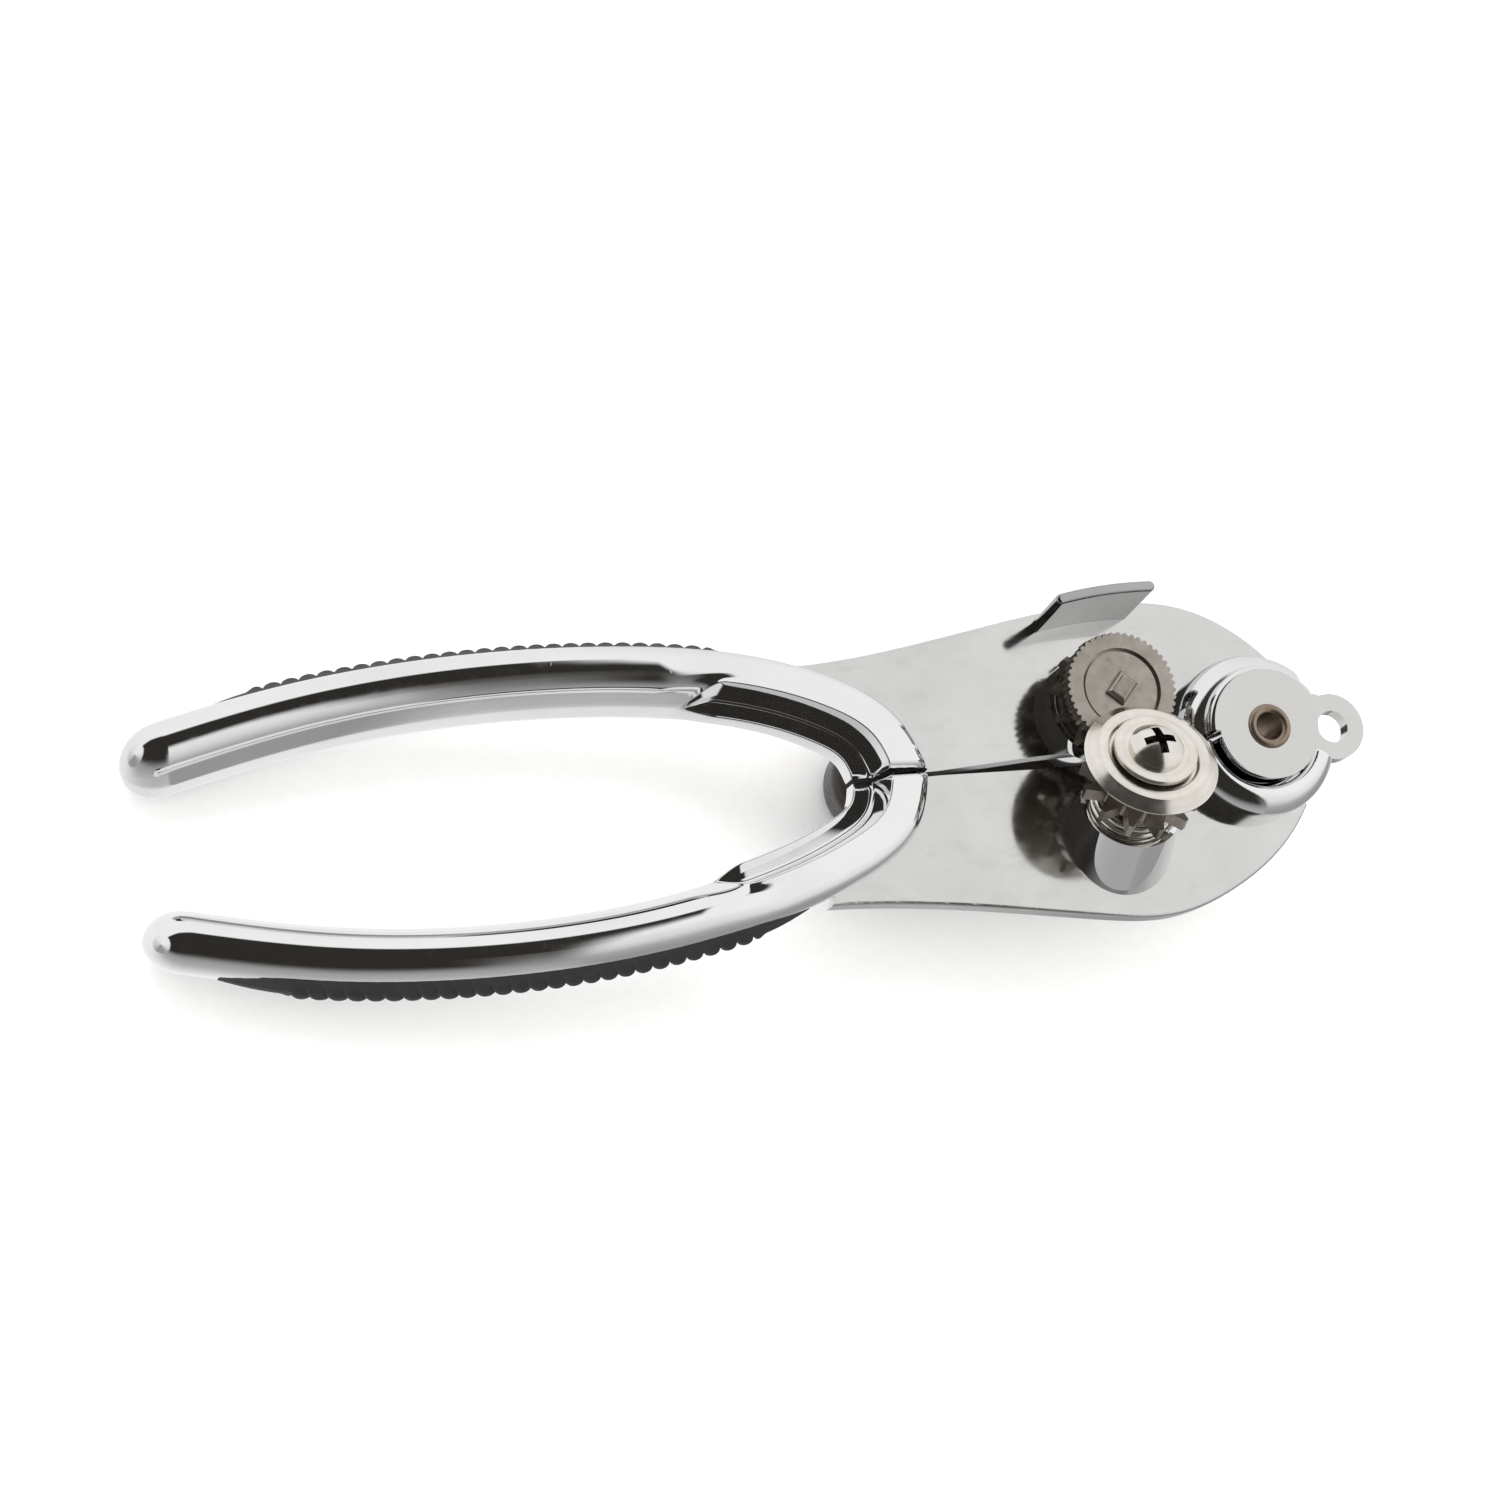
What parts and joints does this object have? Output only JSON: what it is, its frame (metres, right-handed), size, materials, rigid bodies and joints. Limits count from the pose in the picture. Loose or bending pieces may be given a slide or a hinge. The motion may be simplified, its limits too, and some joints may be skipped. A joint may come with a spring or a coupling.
{
  "type": "manual can opener",
  "caption": "Plier-type hand can opener: two hinged levers with ribbed grips, a serrated feed wheel turned by a key, and a tilted round cutter geared to it.",
  "frame": {"origin": "on the pivot axis, level with the front faces of the two plates", "axes": "+X from the handles to the hang loop, +Y from the lower lever to the upper lever, +Z along the pivot axis out of the working side"},
  "size_m": [0.1884, 0.0506, 0.0408],
  "materials": {
    "satin_plate": "satin ground and plated, faint scratches",
    "chrome": "mirror chrome plate",
    "grip_rubber": "matte moulded rubber",
    "nickel_steel": "nickel-plated hardened steel, satin",
    "bright_steel": "turned bright steel",
    "bronze": "plain sintered bronze",
    "key_plastic": "dark moulded plastic"
  },
  "bodies": {
    "upper_lever": {"upper_plate": "satin_plate", "guide_tab": "chrome", "upper_handle": "chrome", "upper_grip": "grip_rubber", "pivot_boss": "chrome", "pivot_rivet": "nickel_steel", "pivot_washer": "bright_steel", "drive_collar": "chrome", "shaft_housing": "chrome", "shaft_bushing": "bronze"},
    "lower_lever": {"lower_plate": "satin_plate", "pivot_lug": "satin_plate", "lower_handle": "chrome", "lower_grip": "grip_rubber", "pivot_socket": "chrome", "cutter_post": "chrome", "cutter_spring": "bright_steel", "cutter_sleeve": "bright_steel", "screw_washer": "bright_steel", "cutter_screw": "bright_steel"},
    "drive": {"drive_shaft": "nickel_steel", "thrust_washer": "nickel_steel", "drive_gear": "nickel_steel", "gear_spacer": "nickel_steel", "feed_wheel": "nickel_steel", "feed_retainer": "nickel_steel", "key_washer": "bright_steel", "key_core": "bright_steel", "turning_key": "key_plastic"},
    "cutter": {"cutter_wheel": "bright_steel", "cutter_gear": "nickel_steel"}
  },
  "joints": [
    {"name": "lever_pivot", "type": "hinge", "parent": "upper_lever", "child": "lower_lever", "pos_m": [0, 0, 0], "axis": [0, 0, 1], "range_deg": [0, 25]},
    {"name": "key_turn", "type": "hinge", "parent": "upper_lever", "child": "drive", "pos_m": [-0.0238, 0.0073, 0], "axis": [0, 0, 1], "continuous": true},
    {"name": "cutter_spin", "type": "hinge", "parent": "lower_lever", "child": "cutter", "pos_m": [-0.0237, -0.005, 0.0157], "axis": [0, 0.3907, 0.9205], "continuous": true}
  ],
  "couplings": [
    {"joint": "cutter_spin", "follows": "key_turn", "ratio": -1}
  ]
}
